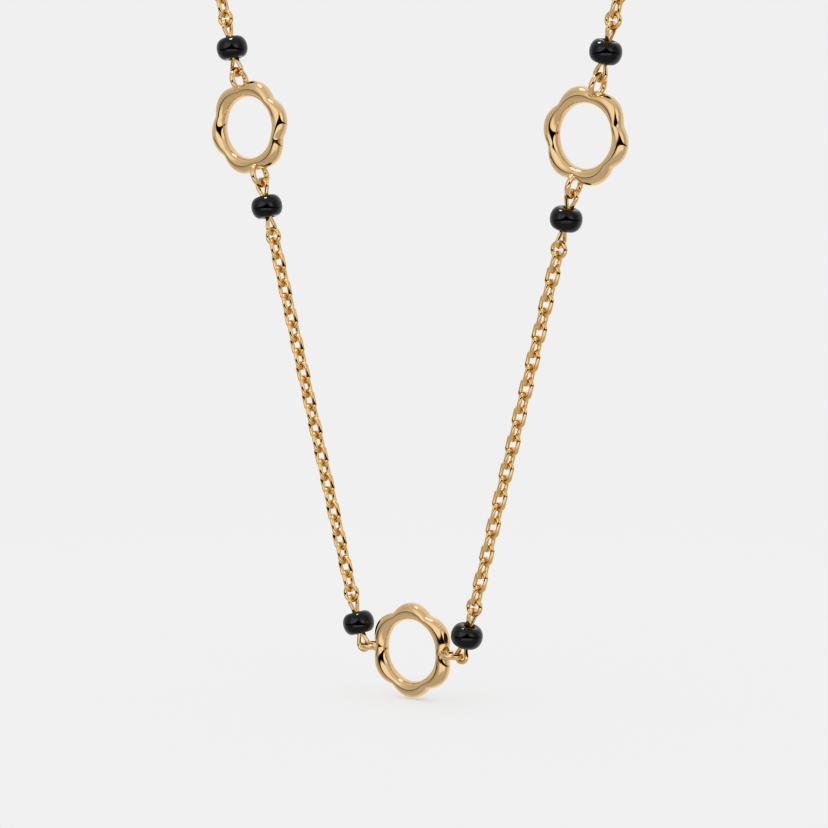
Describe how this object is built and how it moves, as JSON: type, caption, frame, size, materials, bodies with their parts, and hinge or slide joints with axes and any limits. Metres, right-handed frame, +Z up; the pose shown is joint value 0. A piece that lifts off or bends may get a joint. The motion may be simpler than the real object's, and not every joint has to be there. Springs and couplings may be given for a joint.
{
  "type": "mangalsutra",
  "caption": "Fine gold cable-chain necklace with open flower-shaped links, each held between two black rondelle beads, in a hanging V with a loop round the neck.",
  "frame": {"origin": "middle of the clasp at the nape, where the necklace hangs", "axes": "+Z up, the wearer faces -Y, +X to the wearer's left"},
  "size_m": [0.0846, 0.0616, 0.1627],
  "materials": {
    "gold": "polished yellow gold, diamond-cut facets on the chain",
    "black_bead": "high gloss"
  },
  "bodies": {
    "root": {"flower_center": "gold", "flower_left": "gold", "flower_right": "gold", "bead_low_left": "black_bead", "bead_low_right": "black_bead", "bead_mid_left": "black_bead", "bead_mid_right": "black_bead", "bead_top_left": "black_bead", "bead_top_right": "black_bead", "pin_low_left": "gold", "pin_low_right": "gold", "pin_mid_left": "gold", "pin_mid_right": "gold", "pin_top_left": "gold", "pin_top_right": "gold", "chain_front_left": "gold", "chain_front_right": "gold", "chain_side_left": "gold", "chain_side_right": "gold", "chain_nape_left": "gold", "chain_nape_right": "gold", "clasp": "gold"}
  },
  "joints": []
}
